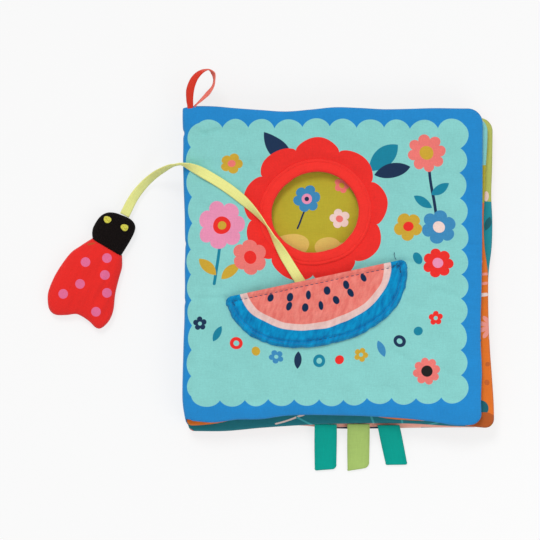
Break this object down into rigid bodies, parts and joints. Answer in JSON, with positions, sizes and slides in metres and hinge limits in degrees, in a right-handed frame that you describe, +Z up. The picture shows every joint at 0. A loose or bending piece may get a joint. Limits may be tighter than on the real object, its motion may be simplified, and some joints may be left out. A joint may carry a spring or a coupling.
{
  "type": "soft cloth sensory book",
  "caption": "Padded cloth book with a peek window, a half-round plush pocket, ribbon tags, a hanging loop and a stuffed bug on a ribbon.",
  "frame": {"origin": "on the flat underside of the back cover, straight below the middle of the closed book", "axes": "+X from the spine to the fore-edge, +Y to the head of the pages, +Z up from the table through the closed book"},
  "size_m": [0.2689, 0.2421, 0.0288],
  "materials": {
    "cover_print": "printed cotton, matte",
    "cover_lining": "printed cotton, matte",
    "red_facing": "plain cotton, matte",
    "plush": "short-pile plush",
    "wadding": "polyester wadding",
    "spine_wrap": "printed cotton, matte",
    "spine_lining": "plain cotton, matte",
    "leaf_1_front": "printed cotton, matte",
    "leaf_1_back": "printed cotton, matte",
    "leaf_2_front": "printed cotton, matte",
    "leaf_2_back": "printed cotton, matte",
    "back_lining": "printed cotton, matte",
    "back_print": "printed cotton, matte",
    "crinkle_film": "crackling film",
    "red_ribbon": "woven ribbon, slight sheen",
    "yellow_ribbon": "woven ribbon, slight sheen",
    "teal_ribbon": "woven ribbon, slight sheen",
    "lime_ribbon": "woven ribbon, slight sheen",
    "bug_red": "printed cotton, matte",
    "bug_black": "brushed jersey, matte",
    "eye_thread": "satin-stitched thread"
  },
  "bodies": {
    "back_cover": {"back_cover_outer": "back_print", "back_cover_batting": "wadding", "back_cover_lining": "back_lining", "spine_lining": "spine_lining", "spine_outer": "spine_wrap"},
    "front_cover": {"front_cover_outer": "cover_print", "front_cover_batting": "wadding", "front_cover_lining": "cover_lining", "window_facing": "red_facing", "pocket_panel": "plush", "hang_loop": "red_ribbon", "tether_ribbon": "yellow_ribbon"},
    "leaf_1": {"leaf_1_front_panel": "leaf_1_front", "leaf_1_crinkle_film": "crinkle_film", "leaf_1_batting": "wadding", "leaf_1_back_panel": "leaf_1_back"},
    "leaf_2": {"leaf_2_front_panel": "leaf_2_front", "leaf_2_crinkle_film": "crinkle_film", "leaf_2_batting": "wadding", "leaf_2_back_panel": "leaf_2_back", "tag_teal": "teal_ribbon", "tag_lime": "lime_ribbon", "tag_teal_slanted": "teal_ribbon"},
    "bug": {"bug_body_front": "bug_red", "bug_body_filling": "wadding", "bug_body_back": "bug_red", "bug_head_front": "bug_black", "bug_head_filling": "wadding", "bug_head_back": "bug_black", "bug_eye_left": "eye_thread", "bug_eye_right": "eye_thread"}
  },
  "joints": [
    {"name": "cover_turn", "type": "hinge", "parent": "back_cover", "child": "front_cover", "pos_m": [-0.09, 0, 0.01905], "axis": [0, -1, 0], "range_deg": [0, 180], "deforming": ["tether_ribbon"]},
    {"name": "leaf_1_turn", "type": "hinge", "parent": "back_cover", "child": "leaf_1", "pos_m": [-0.089, 0, 0.0133], "axis": [0, -1, 0], "range_deg": [0, 90]},
    {"name": "leaf_2_turn", "type": "hinge", "parent": "back_cover", "child": "leaf_2", "pos_m": [-0.089, 0, 0.008], "axis": [0, -1, 0], "range_deg": [0, 45]},
    {"name": "bug_swing", "type": "hinge", "parent": "back_cover", "child": "bug", "pos_m": [-0.1272, 0.0308, 0.0047], "axis": [0, 0, 1], "range_deg": [-90, 25], "deforming": ["tether_ribbon"]}
  ],
  "couplings": [
    {"joint": "leaf_1_turn", "follows": "cover_turn", "ratio": 0.5},
    {"joint": "leaf_2_turn", "follows": "cover_turn", "ratio": 0.25}
  ]
}
